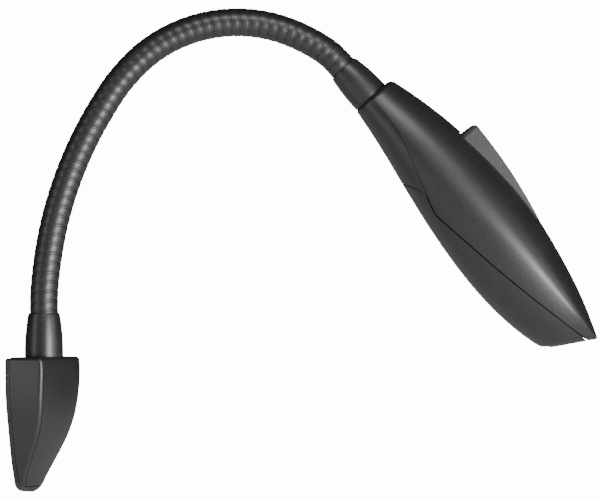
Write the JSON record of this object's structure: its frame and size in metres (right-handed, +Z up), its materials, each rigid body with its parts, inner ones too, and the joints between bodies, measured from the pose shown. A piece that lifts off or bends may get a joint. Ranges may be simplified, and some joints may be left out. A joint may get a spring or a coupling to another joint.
{
  "type": "clip-on reading lamp",
  "caption": "Battery reading lamp: a tapered spring clip, a black gooseneck and a slim tapering lamp head with a fin-shaped power button.",
  "frame": {"origin": "middle of the clip's gripping face, where a cover or page is held", "axes": "+Z up the clip towards the neck, +X out through the clip's thickness away from the gripping face, Y across the clip's width; the neck and head bend in an upright plane turned 30 degrees from +X towards +Y"},
  "size_m": [0.1326, 0.087, 0.1258],
  "materials": {
    "shell_plastic": "satin black moulding with a fine spark texture",
    "trim_plastic": "satin black moulding",
    "paddle_plastic": "darker satin black moulding",
    "neck_steel": "satin black coating on a steel coil",
    "pad_rubber": "soft matt rubber",
    "zinc_steel": "bright zinc plate",
    "contact_metal": "nickel plate",
    "cradle_plastic": "black moulding",
    "cell_jacket": "printed jacket, plain",
    "board_green": "green solder mask",
    "switch_plastic": "black moulding",
    "bright_reflector": "vacuum plated",
    "led_plastic": "clear over yellow phosphor",
    "lens_clear": "clear moulded acrylic",
    "red_insulation": "flexible insulation",
    "black_insulation": "flexible insulation"
  },
  "bodies": {
    "clip": {"clip_body": "shell_plastic", "clip_cover": "shell_plastic", "clip_pad": "pad_rubber", "jaw_pin": "zinc_steel", "jaw_spring": "zinc_steel", "clip_screws": "zinc_steel", "neck_collar": "trim_plastic", "base_ferrule": "neck_steel"},
    "jaw": {"clip_jaw": "shell_plastic", "jaw_pad": "pad_rubber"},
    "neck_01": {"neck_link_01": "neck_steel"},
    "neck_02": {"neck_link_02": "neck_steel"},
    "neck_03": {"neck_link_03": "neck_steel"},
    "neck_04": {"neck_link_04": "neck_steel"},
    "neck_05": {"neck_link_05": "neck_steel"},
    "neck_06": {"neck_link_06": "neck_steel"},
    "neck_07": {"neck_link_07": "neck_steel"},
    "neck_08": {"neck_link_08": "neck_steel"},
    "neck_09": {"neck_link_09": "neck_steel"},
    "neck_10": {"neck_link_10": "neck_steel"},
    "neck_11": {"neck_link_11": "neck_steel"},
    "neck_12": {"neck_link_12": "neck_steel"},
    "head": {"head_sleeve": "trim_plastic", "head_ferrule": "neck_steel", "ferrule_nut": "zinc_steel", "head_top_shell": "shell_plastic", "head_base_shell": "shell_plastic", "battery_cradle": "cradle_plastic", "battery_cell": "cell_jacket", "spring_contact": "contact_metal", "plate_contact": "contact_metal", "circuit_board": "board_green", "button_switch": "switch_plastic", "paddle_pin": "zinc_steel", "led_holder": "cradle_plastic", "reflector": "bright_reflector", "led_board": "board_green", "led": "led_plastic", "lens": "lens_clear", "shell_screws": "zinc_steel", "cradle_screws": "zinc_steel", "red_lead": "red_insulation", "black_lead": "black_insulation"},
    "paddle": {"power_paddle": "paddle_plastic"},
    "plunger": {"switch_plunger": "switch_plastic"},
    "door": {"battery_door": "shell_plastic"}
  },
  "joints": [
    {"name": "jaw_open", "type": "hinge", "parent": "clip", "child": "jaw", "pos_m": [-0.00095, 0, 0.02285], "axis": [0, 1, 0], "range_deg": [0, 10], "stiffness_Nm_per_rad": 0.2, "springref_deg": -17.19, "deforming": ["jaw_spring"]},
    {"name": "neck_bend_low", "type": "hinge", "parent": "clip", "child": "neck_01", "pos_m": [0.0044, 0, 0.0384], "axis": [-0.5, 0.866, 0], "range_deg": [-20, 8]},
    {"name": "neck_bend_low_2", "type": "hinge", "parent": "neck_01", "child": "neck_02", "pos_m": [0.00516, 0.00044, 0.04877], "axis": [-0.5, 0.866, 0], "range_deg": [-20, 8]},
    {"name": "neck_side_low", "type": "hinge", "parent": "neck_02", "child": "neck_03", "pos_m": [0.0068, 0.00138, 0.059], "axis": [-0.8425, -0.4864, 0.2314], "range_deg": [-20, 20]},
    {"name": "neck_bend_low_3", "type": "hinge", "parent": "neck_03", "child": "neck_04", "pos_m": [0.00933, 0.00284, 0.06899], "axis": [-0.5, 0.866, 0], "range_deg": [-20, 8]},
    {"name": "neck_bend_low_4", "type": "hinge", "parent": "neck_04", "child": "neck_05", "pos_m": [0.01272, 0.00481, 0.07863], "axis": [-0.5, 0.866, 0], "range_deg": [-20, 8]},
    {"name": "neck_side_low_2", "type": "hinge", "parent": "neck_05", "child": "neck_06", "pos_m": [0.01695, 0.00725, 0.08781], "axis": [-0.7426, -0.4288, 0.5145], "range_deg": [-20, 20]},
    {"name": "neck_bend_high", "type": "hinge", "parent": "neck_06", "child": "neck_07", "pos_m": [0.02198, 0.01015, 0.09644], "axis": [-0.5, 0.866, 0], "range_deg": [-28, 6]},
    {"name": "neck_bend_high_2", "type": "hinge", "parent": "neck_07", "child": "neck_08", "pos_m": [0.02844, 0.01388, 0.10366], "axis": [-0.5, 0.866, 0], "range_deg": [-28, 6]},
    {"name": "neck_side_high", "type": "hinge", "parent": "neck_08", "child": "neck_09", "pos_m": [0.03634, 0.01844, 0.1086], "axis": [-0.304, -0.1755, 0.9364], "range_deg": [-20, 20]},
    {"name": "neck_bend_high_3", "type": "hinge", "parent": "neck_09", "child": "neck_10", "pos_m": [0.04511, 0.0235, 0.11088], "axis": [-0.5, 0.866, 0], "range_deg": [-28, 6]},
    {"name": "neck_bend_high_4", "type": "hinge", "parent": "neck_10", "child": "neck_11", "pos_m": [0.05408, 0.02868, 0.11034], "axis": [-0.5, 0.866, 0], "range_deg": [-28, 6]},
    {"name": "neck_side_high_2", "type": "hinge", "parent": "neck_11", "child": "neck_12", "pos_m": [0.06259, 0.0336, 0.10702], "axis": [0.3827, 0.2209, 0.8971], "range_deg": [-20, 20]},
    {"name": "neck_bend_high_5", "type": "hinge", "parent": "neck_12", "child": "head", "pos_m": [0.07008, 0.03792, 0.10124], "axis": [-0.5, 0.866, 0], "range_deg": [-28, 6]},
    {"name": "paddle_press", "type": "hinge", "parent": "head", "child": "paddle", "pos_m": [0.11412, 0.06335, 0.06025], "axis": [0.5, -0.866, 0], "range_deg": [0, 2], "stiffness_Nm_per_rad": 1.2, "springref_deg": -0.57},
    {"name": "plunger_press", "type": "slide", "parent": "head", "child": "plunger", "axis": [-0.6308, -0.3642, -0.6852], "range_m": [0, 0.00085]},
    {"name": "door_open", "type": "hinge", "parent": "head", "child": "door", "pos_m": [0.08488, 0.04646, 0.06885], "axis": [-0.5, 0.866, 0], "range_deg": [0, 65]}
  ],
  "couplings": [
    {"joint": "neck_bend_low_2", "follows": "neck_bend_low", "ratio": 1},
    {"joint": "neck_bend_low_3", "follows": "neck_bend_low", "ratio": 1},
    {"joint": "neck_bend_low_4", "follows": "neck_bend_low", "ratio": 1},
    {"joint": "neck_side_low_2", "follows": "neck_side_low", "ratio": 1},
    {"joint": "neck_bend_high_2", "follows": "neck_bend_high", "ratio": 1},
    {"joint": "neck_bend_high_3", "follows": "neck_bend_high", "ratio": 1},
    {"joint": "neck_bend_high_4", "follows": "neck_bend_high", "ratio": 1},
    {"joint": "neck_side_high_2", "follows": "neck_side_high", "ratio": 1},
    {"joint": "neck_bend_high_5", "follows": "neck_bend_high", "ratio": 1},
    {"joint": "plunger_press", "follows": "paddle_press", "m_per_rad": 0.0235}
  ]
}
